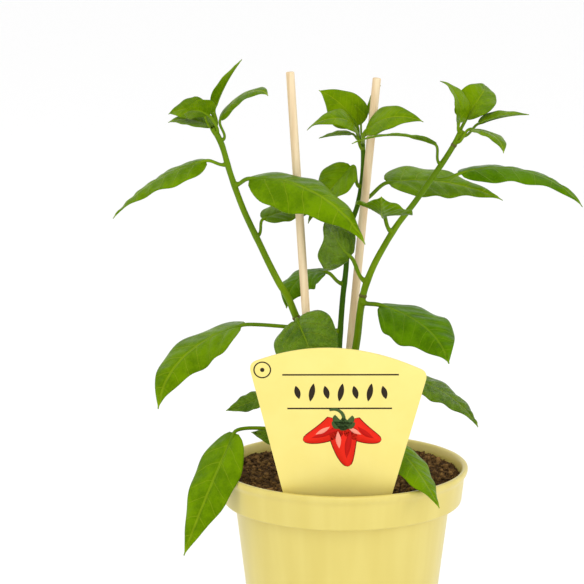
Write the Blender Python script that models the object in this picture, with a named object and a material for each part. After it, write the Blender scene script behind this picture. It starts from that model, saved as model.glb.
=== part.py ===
"""A young chilli pepper plant in a round plastic nursery pot, with two wooden stakes and a fan-shaped label.

Metres, +Z up. The origin is the middle of the pot's underside. Measures below are in millimetres and are
turned into metres by MM. A heading is an angle seen from above: 0 is +X, 90 is +Y. A rise is an angle above
the horizontal.
"""

import math
from collections import namedtuple

import bmesh
import bpy
from mathutils import Matrix, Vector

MM = 0.001
GAP = 0.3  # clear space left between neighbouring pieces

# Pot
RIM_RADIUS = 60.0
POT_HEIGHT = 105.0
WALL = 1.8
LIP_DEPTH = 3.0
LIP_OUT = 1.6
BAND_TOP_RADIUS = RIM_RADIUS - LIP_OUT
BAND_BOTTOM_RADIUS = 57.0
BAND_BOTTOM = 88.0
BODY_TOP_RADIUS = 51.4
BASE_RADIUS = 40.6
HUB_RADIUS = 22.0
FOOT_INNER_RADIUS = 34.0
GROOVE_HEIGHT = 3.0
DRAIN_HOLES = 8
DRAIN_HOLE_RADIUS = 3.5
POT_STEPS = 56

# Soil
SOIL_LEVEL = 101.5
SOIL_STEPS = 32

# Stakes: the middle of the lower end and of the top
STAKE_RADIUS = 2.0
STAKES = {
    "stake_left": ((-7.5, -7, 30), (-25, -7, 294)),
    "stake_right": ((-8, 17.5, 30), (15.5, 3, 290)),
}

# Label: a flat plate with a fan-shaped head and a spike, leaning parallel to the pot's wall
LABEL_THICKNESS = 1.0
LABEL_FOOT_HEIGHT = 99.0  # where the spike's shoulders end and the fan begins
LABEL_AT_SOIL = (-3, -47)
LABEL_LEAN = 7
LABEL_HEAD_HEIGHT = 75.5
LABEL_TOP_WIDTH = 82
LABEL_SOIL_WIDTH = 48
LABEL_CROWN = 9
LABEL_SLANT = 0.06
LABEL_CORNER = 4.5
LABEL_SPIKE_WIDTH = 14
LABEL_SPIKE_LENGTH = 46
LABEL_SHOULDER = 5

# Stems: radius at the foot, radius at the top, and the points that the middle line passes through
Stem = namedtuple("Stem", "foot_radius top_radius points")
STEMS = {
    "trunk": Stem(3.4, 4.2, ((-1, 2, 72), (-1, 2, 100), (-2, 2, 114), (-2, 2, 128))),
    "left_stem": Stem(1.9, 1.25, (
        (-5, 2, 129), (-8, 1, 144), (-15.5, 0, 161), (-22, -2, 177), (-26, -3, 187), (-30, -5, 194),
        (-34.5, -6, 203), (-39, -8, 213), (-46.5, -12, 230), (-52.5, -13, 247), (-56.5, -14, 261),
        (-60.5, -15, 269),
    )),
    "middle_stem": Stem(1.5, 1.0, (
        (-2, 5, 129), (-2, 7, 142), (-1.5, 9, 160), (0, 10, 183), (1.5, 10, 197), (3, 10, 216), (7, 10, 229),
        (9, 10, 241), (9.5, 10, 252), (9, 10, 262),
    )),
    "right_stem": Stem(1.9, 1.2, (
        (1, -1, 129), (3, -3, 146), (6.5, -4, 166), (8, -5, 180), (10, -5, 191), (13.5, -6, 201),
        (18, -6, 210), (25, -7, 222), (34, -7, 234), (47.5, -8, 254), (55, -8, 267),
    )),
}

# Leaves: where the stalk leaves its stem, the stalk's length, heading and rise, the blade's length and
# width, its heading and rise at the base and at the tip, its turn about its own length at the base and
# at the tip, and how far its halves fold up from flat.
Leaf = namedtuple("Leaf", "stem height stalk size base tip turn fold")
LEAVES = {
    "leaf_left_tip_upright": Leaf("left_stem", 269, (9, 60, 80), (26, 9), (0, 72), (24, 48), (28, 18), 28),
    "leaf_left_tip_right": Leaf(
        "left_stem", 263, (10, -85, 80), (36, 12), (22, 66), (-80, -20), (-5, -40), -10,
    ),
    "leaf_left_tip_front": Leaf(
        "left_stem", 267, (9.5, -135, 62), (18, 15), (224, 36), (232, -23), (-28, -65), 3,
    ),
    "leaf_left_tip_back": Leaf(
        "left_stem", 267, (13, 125, 52), (19, 14), (180, 6), (150, -26), (35, 45), 3,
    ),
    "leaf_left_tip_low": Leaf("left_stem", 261, (10, 135, 50), (24, 13), (165, 28), (145, -24), (12, 30), 5),
    "leaf_left_tip_bud": Leaf("left_stem", 269, (7, 170, 55), (10, 4), (130, 62), (174, 55), (0, 0), 30),
    "leaf_left_outer": Leaf("left_stem", 252, (10, 178, 8), (52, 20), (184, -11), (193, -51), (21, -6), -13),
    "leaf_left_inner": Leaf(
        "left_stem", 242, (10, -40, 23), (67, 29), (-14, 6), (-32, -57), (-25, -22), -18,
    ),
    "leaf_left_rear": Leaf("left_stem", 217, (9, 43, 60), (30, 16), (29, 22), (29, -21), (-18, -18), 0),
    "leaf_left_heart": Leaf(
        "left_stem", 173, (14, -95, 22), (45, 31), (-78, -18), (-35, -90), (-36, -50), 9,
    ),
    "leaf_middle_low": Leaf("middle_stem", 191, (10, 180, 33), (30, 24), (166, 8), (246, -84), (7, 13), -7),
    "leaf_middle_left": Leaf(
        "middle_stem", 238, (12, -132, 55), (34, 21), (203, -38), (190, -62), (30, 10), 10,
    ),
    "leaf_middle_right": Leaf("middle_stem", 231, (17, 23, 27), (60, 26), (30, 4), (-3, -25), (-24, -27), 0),
    "leaf_middle_long_stalk": Leaf(
        "middle_stem", 168, (47, 182, 4), (63, 27), (155, -18), (262, -56), (20, 17), -10,
    ),
    "leaf_middle_tip_back": Leaf(
        "middle_stem", 260, (7, 140, 62), (26, 20), (152, 60), (160, 18), (44, 47), 0,
    ),
    "leaf_middle_tip_left": Leaf(
        "middle_stem", 256, (10, -118, 52), (33, 14), (251, 57), (156, -47), (55, 10), 0,
    ),
    "leaf_middle_tip_under": Leaf(
        "middle_stem", 260, (6, -165, 30), (16, 8), (194, 4), (184, -16), (10, 0), 10,
    ),
    "leaf_middle_tip_right": Leaf(
        "middle_stem", 259, (18, -86, 25), (31, 17), (-40, 45), (-5, -24), (-44, -35), 0,
    ),
    "leaf_middle_tip_up": Leaf("middle_stem", 262, (8, 20, 56), (19, 9), (20, 108), (50, 30), (20, 14), 0),
    "leaf_middle_tip_bud": Leaf("middle_stem", 262, (7, -110, 72), (9, 5), (254, 69), (175, 65), (0, 0), 30),
    "leaf_right_cross": Leaf(
        "right_stem", 251, (12, -125, 58), (42, 13), (207, 27), (187, -22), (-8, -10), 5,
    ),
    "leaf_right_outer": Leaf("right_stem", 245, (13, -2, 8), (66, 20), (28, 13), (-55, -39), (-19, 0), -15),
    "leaf_right_fork": Leaf("right_stem", 219, (11, -127, 51), (33, 27), (-98, 1), (-91, 50), (13, 3), 20),
    "leaf_right_centre": Leaf(
        "right_stem", 195, (14, 157, 53), (31, 28), (210, 40), (205, 91), (90, 2), -11,
    ),
    "leaf_right_low": Leaf(
        "right_stem", 185, (11, -40, 0), (50, 33), (-13, -12), (-77, -40), (-8, -26), -10,
    ),
    "leaf_right_tip_fold": Leaf(
        "right_stem", 266, (6, -110, 55), (24, 15), (146, 108), (151, 15), (-4, -6), 11,
    ),
    "leaf_right_tip_round": Leaf(
        "right_stem", 266, (7, 55, 53), (28, 19), (30, 58), (90, 2), (-12, -38), 12,
    ),
    "leaf_right_tip_thin": Leaf("right_stem", 265, (10, -7, 31), (24, 11), (-10, 24), (2, -2), (-14, 4), 19),
    "leaf_right_tip_low": Leaf(
        "right_stem", 262, (10, -34, 38), (26, 13), (-18, 0), (-90, -40), (0, 20), -5,
    ),
    "leaf_right_tip_bud": Leaf("right_stem", 267, (7, 150, 72), (10, 4), (80, 62), (20, 45), (0, 0), 30),
    "leaf_rear_left": Leaf("trunk", 124, (40, 196, 25), (20, 12), (192, -27), (195, -11), (20, 40), 5),
    "leaf_rear_right": Leaf("trunk", 126, (40, 3, 31), (42, 20), (13, -18), (-50, -46), (-27, 8), -5),
    "leaf_hanging_left": Leaf("trunk", 121, (55, 206, 5), (62, 24), (220, -58), (203, -69), (6, 53), -3),
    "leaf_hanging_right": Leaf("trunk", 117, (41, -52, 9), (43, 20), (-50, -25), (-60, -42), (-5, 13), -12),
    "leaf_low_left": Leaf("trunk", 117, (21, 166, 7), (22, 14), (176, -19), (165, 12), (35, 45), 3),
}
STALK_STEPS = 5
STALK_BEND = 6
BLADE_STEPS = 14
FINER = 5  # how many times finer a blade's curve is followed than its rings are spaced
BLADE_RISE_POWER = 0.55
BLADE_TAPER_POWER = 1.2
MIDRIB_THICKNESS = 1.0
BLADE_THICKNESS = 0.6
TIP_WIDTH = 0.4

COLOURS = {
    "pot": ((0.83, 0.70, 0.24), 0.4),
    "soil": ((0.06, 0.035, 0.02), 0.95),
    "label": ((0.90, 0.78, 0.30), 0.45),
    "wood": ((0.80, 0.62, 0.38), 0.7),
    "stem": ((0.16, 0.32, 0.01), 0.45),
    "leaf": ((0.11, 0.26, 0.01), 0.4),
}


def clear_scene():
    for thing in list(bpy.data.objects):
        bpy.data.objects.remove(thing, do_unlink=True)


def material(name):
    """One Principled material of the named colour."""
    colour, roughness = COLOURS[name]
    made = bpy.data.materials.get(name)
    if made:
        return made
    made = bpy.data.materials.new(name)
    made.use_nodes = True
    shader = made.node_tree.nodes["Principled BSDF"]
    shader.inputs["Base Color"].default_value = (*colour, 1)
    shader.inputs["Roughness"].default_value = roughness
    shader.inputs["Metallic"].default_value = 0
    return made


def finish(name, shape, colour, smooth_angle=35):
    """Turns a bmesh in millimetres into a named object in metres."""
    bmesh.ops.recalc_face_normals(shape, faces=shape.faces)
    bmesh.ops.scale(shape, vec=(MM, MM, MM), verts=shape.verts)
    mesh = bpy.data.meshes.new(name)
    shape.to_mesh(mesh)
    shape.free()
    mesh.shade_smooth()
    mesh.set_sharp_from_angle(angle=math.radians(smooth_angle))
    piece = bpy.data.objects.new(name, mesh)
    bpy.context.collection.objects.link(piece)
    piece.data.materials.append(material(colour))
    return piece


def direction(heading, rise):
    heading = math.radians(heading)
    rise = math.radians(rise)
    return Vector((
        math.cos(rise) * math.cos(heading),
        math.cos(rise) * math.sin(heading),
        math.sin(rise),
    ))


def turned(profile, steps):
    """A solid of revolution about Z from (radius, height) points whose ends lie on the axis."""
    shape = bmesh.new()
    points = [shape.verts.new((radius, 0, height)) for radius, height in profile]
    edges = [shape.edges.new(pair) for pair in zip(points, points[1:])]
    bmesh.ops.spin(
        shape, geom=points + edges, cent=(0, 0, 0), axis=(0, 0, 1),
        angle=math.tau, steps=steps, use_merge=True,
    )
    bmesh.ops.remove_doubles(shape, verts=shape.verts, dist=0.001)
    return shape


def cut(piece, cutter):
    """Takes the cutter out of the piece."""
    cutter.hide_render = True
    cutter.display_type = "WIRE"
    boolean = piece.modifiers.new("cut_" + cutter.name, "BOOLEAN")
    boolean.operation = "DIFFERENCE"
    boolean.solver = "EXACT"
    boolean.object = cutter


def body_radius(height):
    """Outer radius of the pot's tapering body at a height."""
    return BASE_RADIUS + (BODY_TOP_RADIUS - BASE_RADIUS) * height / BAND_BOTTOM


def inner_profile(offset):
    """The inside of the pot from the middle of its floor to its mouth, moved inwards by offset."""
    low_floor = WALL + offset
    high_floor = GROOVE_HEIGHT + WALL + offset
    inside = WALL + offset
    ledge = BAND_BOTTOM + WALL + offset
    return [
        (0, low_floor),
        (HUB_RADIUS - inside - 0.5, low_floor),
        (HUB_RADIUS - inside + 0.5, high_floor),
        (body_radius(high_floor) - inside, high_floor),
        (body_radius(ledge - 3) - inside, ledge - 3),
        (body_radius(ledge) - inside + 1, ledge),
        (BAND_BOTTOM_RADIUS - inside, ledge + 1),
        (BAND_TOP_RADIUS - inside, POT_HEIGHT - LIP_DEPTH),
    ]


def make_pot():
    outside = [
        (0, 0),
        (HUB_RADIUS - 1, 0),
        (HUB_RADIUS, GROOVE_HEIGHT),
        (FOOT_INNER_RADIUS, GROOVE_HEIGHT),
        (FOOT_INNER_RADIUS + 1, 0),
        (BASE_RADIUS - 0.6, 0),
        (BASE_RADIUS, 0.8),
        (BODY_TOP_RADIUS - 0.4, BAND_BOTTOM - 2),
        (BODY_TOP_RADIUS + 0.8, BAND_BOTTOM - 0.3),
        (BAND_BOTTOM_RADIUS - 1.6, BAND_BOTTOM),
        (BAND_BOTTOM_RADIUS - 0.4, BAND_BOTTOM + 0.6),
        (BAND_BOTTOM_RADIUS, BAND_BOTTOM + 2),
        (BAND_TOP_RADIUS, POT_HEIGHT - LIP_DEPTH),
        (RIM_RADIUS - 0.4, POT_HEIGHT - LIP_DEPTH + 0.2),
        (RIM_RADIUS, POT_HEIGHT - LIP_DEPTH + 0.8),
        (RIM_RADIUS, POT_HEIGHT - 0.7),
        (RIM_RADIUS - 0.7, POT_HEIGHT),
        (RIM_RADIUS - WALL, POT_HEIGHT),
    ]
    pot = finish("pot", turned(outside + inner_profile(0)[::-1], POT_STEPS), "pot")
    holes = bmesh.new()
    ring = (HUB_RADIUS + FOOT_INNER_RADIUS) / 2
    for index in range(DRAIN_HOLES):
        made = bmesh.ops.create_cone(
            holes, cap_ends=True, segments=16, radius1=DRAIN_HOLE_RADIUS, radius2=DRAIN_HOLE_RADIUS,
            depth=4 * GROOVE_HEIGHT,
        )
        centre = direction(index * 360 / DRAIN_HOLES, 0) * ring
        centre.z = GROOVE_HEIGHT
        bmesh.ops.translate(holes, vec=centre, verts=made["verts"])
    cut(pot, finish("drain_hole_cutter", holes, "pot"))


def rod(shape, start, end, radius, segments):
    """Adds a straight round rod between two points to a bmesh."""
    start = Vector(start)
    along = Vector(end) - start
    made = bmesh.ops.create_cone(
        shape, cap_ends=True, segments=segments, radius1=radius, radius2=radius, depth=along.length,
    )
    spin = along.to_track_quat("Z", "Y").to_matrix()
    bmesh.ops.rotate(shape, cent=(0, 0, 0), matrix=spin, verts=made["verts"])
    bmesh.ops.translate(shape, vec=start + along / 2, verts=made["verts"])


def make_stakes():
    for name, (foot, top) in STAKES.items():
        shape = bmesh.new()
        rod(shape, foot, top, STAKE_RADIUS, 20)
        finish(name, shape, "wood")


def label_outline(grow):
    """The label's outline as (across, up) points from the soil line, widened by grow."""
    points = []
    half_top = LABEL_TOP_WIDTH / 2 + grow
    half_soil = LABEL_SOIL_WIDTH / 2 + grow
    half_spike = LABEL_SPIKE_WIDTH / 2 + grow
    reach = LABEL_HEAD_HEIGHT - LABEL_CROWN
    points.append((0, -LABEL_SPIKE_LENGTH - grow))
    points.append((half_spike, -LABEL_SPIKE_LENGTH + half_spike - grow))
    points.append((half_spike, -LABEL_SHOULDER - 6 - grow))
    points.append((half_soil - 3, -LABEL_SHOULDER - grow))
    points.append((half_soil, 0))
    corner = Vector((half_top, reach))
    below = corner + Vector((half_soil - half_top, -reach)).normalized() * LABEL_CORNER
    beside = corner + Vector((-LABEL_CORNER, LABEL_CORNER * 0.3))
    points.append(tuple(below))
    points.append(tuple((below + beside + corner * 2) / 4))
    points.append(tuple(beside))
    for share in (0.75, 0.5, 0.25):
        across = beside.x * share
        points.append((across, LABEL_HEAD_HEIGHT - (LABEL_HEAD_HEIGHT - beside.y) * share**2))
    left = [(-across, up) for across, up in reversed(points[1:])]
    outline = points + [(0, LABEL_HEAD_HEIGHT + grow)] + left
    slant = LABEL_SLANT / LABEL_HEAD_HEIGHT
    return [(across, up - slant * across * max(up, 0)) for across, up in outline]


def label_plate(grow):
    shape = bmesh.new()
    corners = [shape.verts.new((across, 0, up)) for across, up in label_outline(grow)]
    face = shape.faces.new(corners)
    thickness = LABEL_THICKNESS + 2 * grow
    extruded = bmesh.ops.extrude_face_region(shape, geom=[face])
    moved = [item for item in extruded["geom"] if isinstance(item, bmesh.types.BMVert)]
    bmesh.ops.translate(shape, vec=(0, thickness, 0), verts=moved)
    bmesh.ops.translate(shape, vec=(0, -thickness / 2, 0), verts=shape.verts)
    lean = Matrix.Rotation(math.radians(LABEL_LEAN), 3, "X")
    bmesh.ops.rotate(shape, cent=(0, 0, 0), matrix=lean, verts=shape.verts)
    bmesh.ops.translate(shape, vec=(*LABEL_AT_SOIL, LABEL_FOOT_HEIGHT), verts=shape.verts)
    return shape


def make_label():
    finish("label", label_plate(0), "label")


def make_soil():
    """The soil fills the pot, with a socket for everything that stands in it."""
    inside = inner_profile(GAP)
    level = [
        (BAND_BOTTOM_RADIUS - WALL - GAP + 0.5, SOIL_LEVEL - 1.5),
        (44, SOIL_LEVEL - 0.5),
        (30, SOIL_LEVEL + 0.5),
        (14, SOIL_LEVEL),
        (0, SOIL_LEVEL + 0.5),
    ]
    soil = finish("soil", turned(inside[:-1] + level, SOIL_STEPS), "soil")
    sockets = bmesh.new()
    for foot, top in STAKES.values():
        foot = Vector(foot)
        down = (foot - Vector(top)).normalized() * GAP
        rod(sockets, foot + down, top, STAKE_RADIUS + GAP, 20)
    trunk = STEMS["trunk"]
    for lower, upper in zip(trunk.points, trunk.points[1:2]):
        below = Vector(lower) - Vector((0, 0, GAP))
        rod(sockets, below, Vector(upper) + Vector((0, 0, 20)), trunk.foot_radius + 2 * GAP, 20)
    cut(soil, finish("socket_cutter", sockets, "soil"))
    cut(soil, finish("label_socket_cutter", label_plate(GAP), "soil"))


def through(points, share):
    """A smooth curve through the points: the place and the direction at a share of its length."""
    spans = len(points) - 1
    span = min(int(share * spans), spans - 1)
    along = share * spans - span
    near = [Vector(points[min(max(span + step, 0), spans)]) for step in (-1, 0, 1, 2)]
    before, start, end, after = near
    leaving = (end - before) / 2
    reaching = (after - start) / 2
    bend = 3 * (end - start) - 2 * leaving - reaching
    twist = 2 * (start - end) + leaving + reaching
    place = start + leaving * along + bend * along**2 + twist * along**3
    heading = leaving + 2 * bend * along + 3 * twist * along**2
    return place, heading.normalized()


def make_stem(name):
    stem = STEMS[name]
    steps = 2 * (len(stem.points) - 1)
    guide = bpy.data.curves.new(name, "CURVE")
    guide.dimensions = "3D"
    guide.bevel_depth = MM
    guide.bevel_resolution = 2
    guide.use_fill_caps = True
    spline = guide.splines.new("POLY")
    spline.points.add(steps)
    for index, point in enumerate(spline.points):
        share = index / steps
        place, _ = through(stem.points, share)
        point.co = (*(place * MM), 1)
        point.radius = stem.foot_radius + (stem.top_radius - stem.foot_radius) * share
    piece = bpy.data.objects.new(name, guide)
    bpy.context.collection.objects.link(piece)
    guide.materials.append(material("stem"))


def stem_at(name, height):
    """Where a stem's middle line passes a height, its direction there and its radius."""
    stem = STEMS[name]
    low, high = 0.0, 1.0
    for _ in range(30):
        share = (low + high) / 2
        place, heading = through(stem.points, share)
        if place.z < height:
            low = share
        else:
            high = share
    radius = stem.foot_radius + (stem.top_radius - stem.foot_radius) * share
    return place, heading, radius


def outline(share):
    """Half-width of a pointed oval blade, as a share of its greatest, at a share of its length."""
    widest = BLADE_RISE_POWER / (BLADE_RISE_POWER + BLADE_TAPER_POWER)
    rising = (share / widest) ** BLADE_RISE_POWER
    return rising * ((1 - share) / (1 - widest)) ** BLADE_TAPER_POWER


def blade_frame(leaf, share):
    """Direction along the blade, across it and up from it at a share of its length."""
    heading = leaf.base[0] + (leaf.tip[0] - leaf.base[0]) * share
    rise = leaf.base[1] + (leaf.tip[1] - leaf.base[1]) * share
    turn = math.radians(leaf.turn[0] + (leaf.turn[1] - leaf.turn[0]) * share)
    along = direction(heading, rise)
    level = direction(heading + 90, 0)
    up = along.cross(level)
    across = level * math.cos(turn) - up * math.sin(turn)
    return along, across, up * math.cos(turn) + level * math.sin(turn)


def stalk_point(leaf, share):
    """A point of the curve from the stem's skin to the blade."""
    axis, stem_heading, radius = stem_at(leaf.stem, leaf.height)
    length, heading, rise = leaf.stalk
    aim = direction(heading, rise)
    out = (aim - stem_heading * aim.dot(stem_heading)).normalized()
    start = axis + out * (radius + 2 * GAP)
    end = axis + aim * length
    along, _, _ = blade_frame(leaf, 0)
    reach = (end - start).length / 3
    first = start + (out + aim).normalized() * reach
    second = end - along * min(reach, STALK_BEND)
    rest = 1 - share
    return start * rest**3 + first * 3 * rest**2 * share + second * 3 * rest * share**2 + end * share**3


def stalk_radius(leaf):
    return 0.4 + leaf.size[1] * 0.02


def leaf_rings(leaf):
    """Rings of eight points from the foot of the stalk to the tip of the blade."""
    radius = stalk_radius(leaf)
    _, base_across, _ = blade_frame(leaf, 0)
    for step in range(STALK_STEPS):
        share = step / STALK_STEPS
        place = stalk_point(leaf, share)
        along = (stalk_point(leaf, share + 0.05) - place).normalized()
        across = (base_across - along * base_across.dot(along)).normalized()
        up = along.cross(across)
        yield [
            place + (across * math.cos(angle) + up * math.sin(angle)) * radius
            for angle in (math.tau * corner / 8 for corner in range(8))
        ]
    place = stalk_point(leaf, 1)
    length, width = leaf.size
    fold = math.radians(leaf.fold)
    fine_steps = BLADE_STEPS * FINER
    for step in range(fine_steps + 1):
        share = step / fine_steps
        along, across, up = blade_frame(leaf, share)
        if step % FINER == 0:
            half = max(width / 2 * outline(min(share + 0.012, 0.995)), TIP_WIDTH)
            lift = half * math.tan(fold)
            rib = MIDRIB_THICKNESS / 2 * (1 - 0.6 * share)
            skin = BLADE_THICKNESS / 2
            yield [
                place + across * half + up * lift,
                place + across * half / 2 + up * (lift / 2 + skin),
                place + up * rib,
                place - across * half / 2 + up * (lift / 2 + skin),
                place - across * half + up * lift,
                place - across * half / 2 + up * (lift / 2 - skin),
                place - up * rib,
                place + across * half / 2 + up * (lift / 2 - skin),
            ]
        place = place + along * length / fine_steps


def make_leaf(name):
    """One closed skin drawn over the leaf's rings."""
    rings = list(leaf_rings(LEAVES[name]))
    shape = bmesh.new()
    made = bmesh.ops.create_circle(shape, cap_ends=True, segments=8, radius=1)
    edge_ring = list(shape.edges)
    corners = made["verts"]
    for corner, point in zip(corners, rings[0]):
        corner.co = point
    for ring in rings[1:]:
        grown = bmesh.ops.extrude_edge_only(shape, edges=edge_ring)
        edge_ring = [item for item in grown["geom"] if isinstance(item, bmesh.types.BMEdge)]
        fresh = [item for item in grown["geom"] if isinstance(item, bmesh.types.BMVert)]
        edge_ring = [edge for edge in edge_ring if all(corner in fresh for corner in edge.verts)]
        follows = {}
        for corner in corners:
            for edge in corner.link_edges:
                other = edge.other_vert(corner)
                if other in fresh:
                    follows[corner] = other
        corners = [follows[corner] for corner in corners]
        for corner, point in zip(corners, ring):
            corner.co = point
    bmesh.ops.contextual_create(shape, geom=edge_ring)
    # Both skins of the thin blade have to be cut along the same diagonals, or they would cross.
    bmesh.ops.triangulate(shape, faces=shape.faces[:], quad_method="SHORT_EDGE")
    finish(name, shape, "leaf", smooth_angle=60)


def build():
    clear_scene()
    make_pot()
    make_stakes()
    make_label()
    make_soil()
    for name in STEMS:
        make_stem(name)
    for name in LEAVES:
        make_leaf(name)


build()
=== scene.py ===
"""The finished looks of a young chilli pepper plant in a pale-yellow nursery pot.

Shapes are drawn in millimetres and turned into metres by MM. A heading is an angle seen from above: 0 is +X
and 90 is +Y. A rise is an angle above the horizontal. Turns of a blade are about its own length.
"""

import math
import random
from collections import namedtuple

import bmesh
import bpy
from mathutils import Matrix, Vector, noise


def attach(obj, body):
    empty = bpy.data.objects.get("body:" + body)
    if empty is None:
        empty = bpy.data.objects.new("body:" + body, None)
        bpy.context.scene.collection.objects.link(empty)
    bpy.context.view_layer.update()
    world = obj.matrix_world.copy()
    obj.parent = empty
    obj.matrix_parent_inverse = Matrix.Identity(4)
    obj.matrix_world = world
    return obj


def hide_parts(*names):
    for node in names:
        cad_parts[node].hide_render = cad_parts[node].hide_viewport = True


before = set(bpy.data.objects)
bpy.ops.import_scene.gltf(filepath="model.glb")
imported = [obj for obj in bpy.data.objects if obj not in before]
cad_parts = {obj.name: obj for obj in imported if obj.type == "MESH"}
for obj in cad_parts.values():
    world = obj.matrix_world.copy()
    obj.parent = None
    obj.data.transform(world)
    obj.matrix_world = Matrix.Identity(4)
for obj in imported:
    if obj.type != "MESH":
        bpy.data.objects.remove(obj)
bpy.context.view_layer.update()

MM = 0.001
ROOT = "root"

# ---------------------------------------------------------------- measures

RIM_RADIUS = 60.0
POT_HEIGHT = 105.0
WALL = 1.8
BAND_BOTTOM_RADIUS = 57.0
BAND_TOP_RADIUS = 58.4
BAND_BOTTOM = 88.0
BODY_TOP_RADIUS = 51.4
BASE_RADIUS = 40.6
HUB_RADIUS = 22.0
FOOT_INNER_RADIUS = 34.0
GROOVE_HEIGHT = 3.0
DRAIN_HOLES = 8
DRAIN_HOLE_RADIUS = 3.5
DRAIN_CUT_DEPTH = 12
POT_ROUNDING = 1.2
POT_STEPS = 144

SOIL_LEVEL = 101.5
GAP = 0.3  # clear space between the soil and the pot, and between a stem and its leaves

STAKE_RADIUS = 2.0
STAKE_ROWS = 18
STAKES = {
    "stake_left": ((-7.5, -7, 30), (-25, -7, 294)),
    "stake_right": ((-8, 17.5, 30), (15.5, 3, 290)),
}

LABEL_THICKNESS = 1.0
LABEL_FOOT_HEIGHT = 99.0
LABEL_AT_SOIL = (-3, -47)
LABEL_LEAN = 7
LABEL_HEAD_HEIGHT = 75.5
LABEL_TOP_WIDTH = 82
LABEL_SOIL_WIDTH = 48
LABEL_CROWN = 9
LABEL_SLANT = 0.06
LABEL_CORNER = 4.5
LABEL_SPIKE_WIDTH = 14
LABEL_SPIKE_LENGTH = 46
LABEL_SHOULDER = 5

UPPER_RULE = ((-25.5, 62.8), (27.5, 62.9))  # ends of the print's lines, across and up from the soil line
LOWER_RULE = ((-23.2, 46.5), (24.6, 46.6))
RULE_HALF = 0.36
RING_CENTRE = (-34.6, 65.2)
RING_RADIUS = 3.75
RING_HALF = 0.3
DOT = ((-35.6, 65.2), (-33.6, 65.2))
ROW_COUNT = 7
ROW_LEFT = -18.6
ROW_STEP = 6.6
ROW_UP = 54.3
PODS_TOP = (2.5, 41.0)
PODS = ((-48, 18, 6.0, -14), (46, 17, 5.8, 14), (-2, 20, 7.2, 8))  # lean, length, half-width and curl

# A stem has a radius at its foot and one at its top, and points that its middle line runs through.
# A leaf leaves its stem at a height. stalk is its stalk's length, heading and rise, and size is the length
# and width of its blade. base and tip are the heading and rise at the ends of the blade, turn is its turning
# there, and fold is how steeply its halves rise from the midrib.
Stem = namedtuple("Stem", "foot_radius top_radius points")
Leaf = namedtuple("Leaf", "stem height stalk size base tip turn fold")
STEMS = {
    "trunk": Stem(3.4, 4.2, ((-1, 2, 72), (-1, 2, 100), (-2, 2, 114), (-2, 2, 128))),
    "left_stem": Stem(1.9, 1.25, (
        (-5, 2, 129), (-8, 1, 144), (-15.5, 0, 161), (-22, -2, 177), (-26, -3, 187), (-30, -5, 194),
        (-34.5, -6, 203), (-39, -8, 213), (-46.5, -12, 230), (-52.5, -13, 247), (-56.5, -14, 261),
        (-60.5, -15, 269),
    )),
    "middle_stem": Stem(1.5, 1.0, (
        (-2, 5, 129), (-2, 7, 142), (-1.5, 9, 160), (0, 10, 183), (1.5, 10, 197), (3, 10, 216), (7, 10, 229),
        (9, 10, 241), (9.5, 10, 252), (9, 10, 262),
    )),
    "right_stem": Stem(1.9, 1.2, (
        (1, -1, 129), (3, -3, 146), (6.5, -4, 166), (8, -5, 180), (10, -5, 191), (13.5, -6, 201),
        (18, -6, 210), (25, -7, 222), (34, -7, 234), (47.5, -8, 254), (55, -8, 267),
    )),
}

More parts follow.
